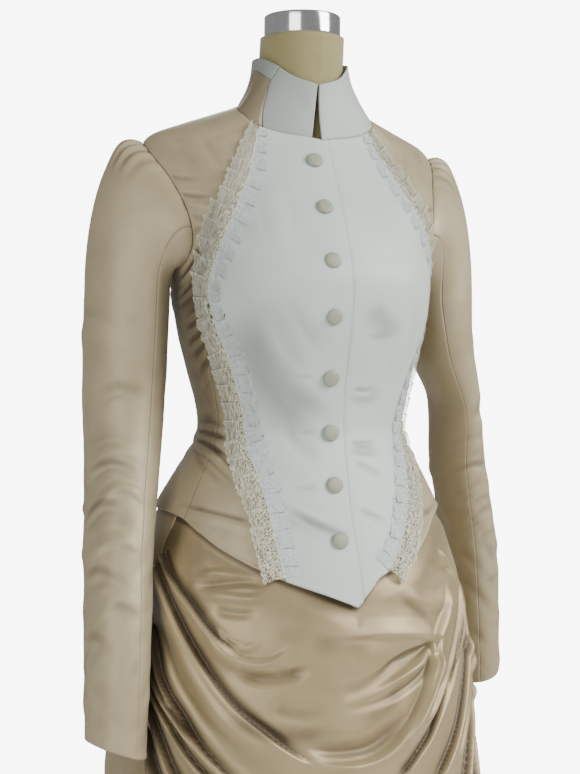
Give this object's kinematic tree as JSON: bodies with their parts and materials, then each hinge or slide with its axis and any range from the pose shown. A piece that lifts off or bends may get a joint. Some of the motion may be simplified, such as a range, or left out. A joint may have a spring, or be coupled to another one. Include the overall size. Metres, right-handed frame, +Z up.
{
  "type": "satin bustle day dress on a limbless dress form with a round stand",
  "caption": "Lady's champagne satin day dress with a white buttoned plastron edged in gathered lace, long sleeves, swagged apron and bustle skirt, on a limbless form",
  "frame": {"origin": "middle of the round base's underside, on the floor", "axes": "+Z up, -Y the front of the dress, -X the garment's right side, +X its left side"},
  "size_m": [0.7016, 0.7724, 1.5308],
  "materials": {
    "champagne": "champagne duchesse satin, soft sheen",
    "white": "cool white satin, soft sheen",
    "lace": "off-white net lace",
    "button": "satin-covered button",
    "jersey": "khaki jersey form cover",
    "chrome": "polished",
    "steel": "brushed",
    "base_paint": "semi-gloss dark paint"
  },
  "bodies": {
    "root": {"bodice_front_right": "champagne", "bodice_front_left": "champagne", "bodice_side_right": "champagne", "bodice_side_left": "champagne", "bodice_back_right": "champagne", "bodice_back_left": "champagne", "sleeve_upper_right": "champagne", "sleeve_under_right": "champagne", "plastron_right": "white", "collar_front_right": "white", "lace_right": "lace", "cuff_button_right_1": "button", "cuff_button_right_2": "button", "sleeve_upper_left": "champagne", "sleeve_under_left": "champagne", "plastron_left": "white", "collar_front_left": "white", "lace_left": "lace", "cuff_button_left_1": "button", "cuff_button_left_2": "button", "collar_back": "champagne", "collar_band": "white", "button_1": "button", "button_2": "button", "button_3": "button", "button_4": "button", "button_5": "button", "button_6": "button", "button_7": "button", "button_8": "button", "apron_overskirt": "champagne", "back_drapery": "champagne", "underskirt_front": "champagne", "underskirt_left": "champagne", "underskirt_back": "champagne", "underskirt_right": "champagne", "form_body": "jersey", "neck_cap": "chrome", "stand_pole": "steel", "stand_base": "base_paint"}
  },
  "joints": []
}
